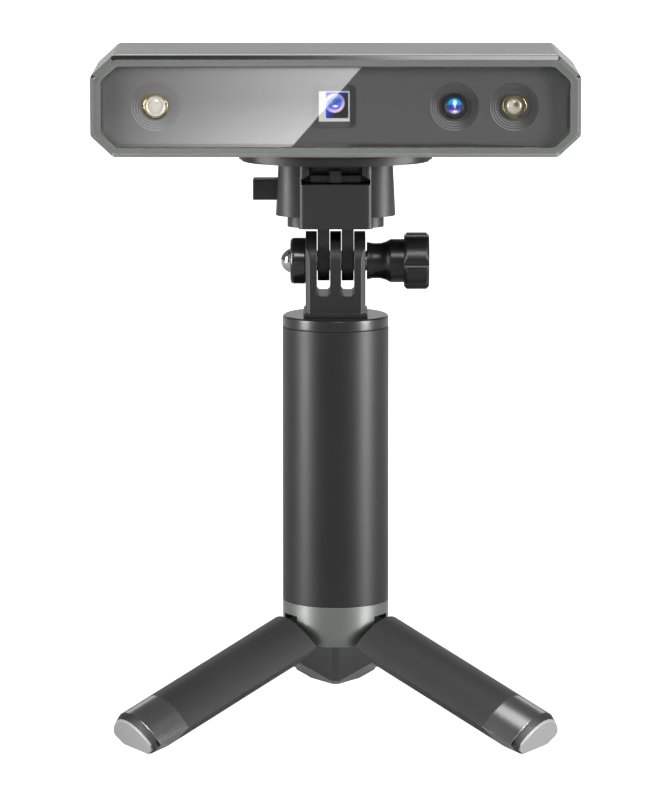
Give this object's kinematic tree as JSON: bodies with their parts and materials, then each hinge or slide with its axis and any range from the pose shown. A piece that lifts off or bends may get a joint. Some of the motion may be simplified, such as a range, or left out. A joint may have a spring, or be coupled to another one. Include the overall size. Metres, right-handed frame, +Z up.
{
  "type": "handheld scanner",
  "caption": "Handheld 3-D scanner: a slim octagonal head with a glass front, on a quick-release tilt clamp and a round grip whose sector legs fold out as a tripod.",
  "frame": {"origin": "on the floor under the middle of the bounding box, feet resting on z = 0 with the legs open; the handle axis stands 11.164 mm in front of the origin, at y = -0.011164 m", "axes": "+Z up along the handle, -Y is the way the scanner looks, +X is along the head's width towards the thumb screw; the three legs point to +Y and 120 degrees either side of it"},
  "size_m": [0.12, 0.098, 0.1709],
  "materials": {
    "barrel_black": "black",
    "barrel_gold": "satin",
    "base_black": "fine texture",
    "bezel_metal": "satin, grey anodised",
    "board_green": "solder mask",
    "button_black": "fine texture",
    "cap_gloss": "polished black",
    "chip_black": "moulded",
    "collar_metal": "satin",
    "face_grey": "matte dark grey",
    "ferrule_gloss": "polished dark anodised",
    "flex_amber": "film",
    "foot_grey": "light grey, matte",
    "fork_black": "fine texture",
    "frame_white": "pearl white",
    "gasket_black": "matte",
    "grip_rubber": "soft-touch, matte",
    "hinge_black": "matte black",
    "housing_black": "moulded",
    "housing_gloss": "moulded",
    "inner_metal": "machined, bare",
    "insert_brass": "turned",
    "ir_lens": "coated, pearl",
    "key_black": "soft matte",
    "knob_black": "moulded, slightly glossy",
    "leg_rubber": "soft-touch, matte",
    "light_clear": "clear, polished",
    "nut_chrome": "polished",
    "pad_black": "matte",
    "pin_steel": "ground",
    "plate_black": "fine texture",
    "port_steel": "brushed",
    "proj_lens": "coated, violet blue",
    "rgb_lens": "coated, blue",
    "ring_black": "matte",
    "screw_black": "black oxide",
    "screw_steel": "zinc plated",
    "shell_metal": "satin, grey anodised",
    "switch_black": "moulded",
    "window_glass": "smoked, polished"
  },
  "bodies": {
    "handle": {"fork_bracket": "fork_black", "nut_housing": "housing_gloss", "cap_nut": "nut_chrome", "bracket_bolt": "screw_steel", "top_cap": "cap_gloss", "grip_sleeve": "grip_rubber", "core_tube": "inner_metal", "hub_collar": "collar_metal", "hinge_block": "hinge_black", "hub_screw": "screw_steel", "hinge_pins": "pin_steel"},
    "clamp_base": {"quick_release_base": "base_black"},
    "release_latch": {"release_button": "button_black"},
    "thumb_screw": {"thumb_knob": "knob_black", "clamp_screw": "screw_steel"},
    "head": {"front_bezel": "bezel_metal", "front_glass": "window_glass", "glass_gasket": "gasket_black", "optics_face_plate": "face_grey", "body_shell": "shell_metal", "rear_cover": "shell_metal", "optical_bench": "inner_metal", "main_board": "board_green", "board_chips": "chip_black", "heat_spreader": "inner_metal", "usb_c_port": "port_steel", "status_light_pipe": "light_clear", "button_switch": "switch_black", "left_ir_barrel": "barrel_gold", "left_ir_lens": "ir_lens", "right_ir_barrel": "barrel_gold", "right_ir_lens": "ir_lens", "rgb_barrel": "barrel_black", "rgb_lens": "rgb_lens", "projector_housing": "housing_black", "projector_frame": "frame_white", "projector_lens": "proj_lens", "sensor_boards": "board_green", "flex_cables": "flex_amber", "tripod_insert": "insert_brass", "case_screws": "screw_black", "board_screws": "screw_steel", "mounting_plate": "plate_black", "plate_pad": "pad_black", "camera_screw": "screw_steel"},
    "power_key": {"power_button": "key_black"},
    "leg_1": {"leg_1_shell": "leg_rubber", "leg_1_ferrule": "ferrule_gloss", "leg_1_ring": "ring_black", "leg_1_foot": "foot_grey"},
    "leg_2": {"leg_2_shell": "leg_rubber", "leg_2_ferrule": "ferrule_gloss", "leg_2_ring": "ring_black", "leg_2_foot": "foot_grey"},
    "leg_3": {"leg_3_shell": "leg_rubber", "leg_3_ferrule": "ferrule_gloss", "leg_3_ring": "ring_black", "leg_3_foot": "foot_grey"}
  },
  "joints": [
    {"name": "head_tilt", "type": "hinge", "parent": "handle", "child": "clamp_base", "pos_m": [0, -0.01116, 0.1181], "axis": [1, 0, 0], "range_deg": [-75, 75]},
    {"name": "thumb_screw_turn", "type": "hinge", "parent": "handle", "child": "thumb_screw", "pos_m": [0.015, -0.01116, 0.1181], "axis": [1, 0, 0], "continuous": true},
    {"name": "release_button_press", "type": "slide", "parent": "clamp_base", "child": "release_latch", "axis": [1, 0, 0], "range_m": [0, 0.0025], "stiffness_N_per_m": 400, "springref_m": -0.002},
    {"name": "head_slide", "type": "slide", "parent": "clamp_base", "child": "head", "axis": [0, -1, 0], "range_m": [0, 0.036]},
    {"name": "power_button_press", "type": "slide", "parent": "head", "child": "power_key", "axis": [0, -1, 0], "range_m": [0, 0.0005], "stiffness_N_per_m": 800, "springref_m": -0.0006},
    {"name": "leg_1_fold", "type": "hinge", "parent": "handle", "child": "leg_1", "pos_m": [-0.00749, -0.01549, 0.02687], "axis": [0.5, -0.866, 0], "range_deg": [0, 65.4]},
    {"name": "leg_2_fold", "type": "hinge", "parent": "handle", "child": "leg_2", "pos_m": [0.00749, -0.01549, 0.02687], "axis": [0.5, 0.866, 0], "range_deg": [0, 65.4]},
    {"name": "leg_3_fold", "type": "hinge", "parent": "handle", "child": "leg_3", "pos_m": [0, -0.00251, 0.02687], "axis": [-1, 0, 0], "range_deg": [0, 65.4]}
  ]
}
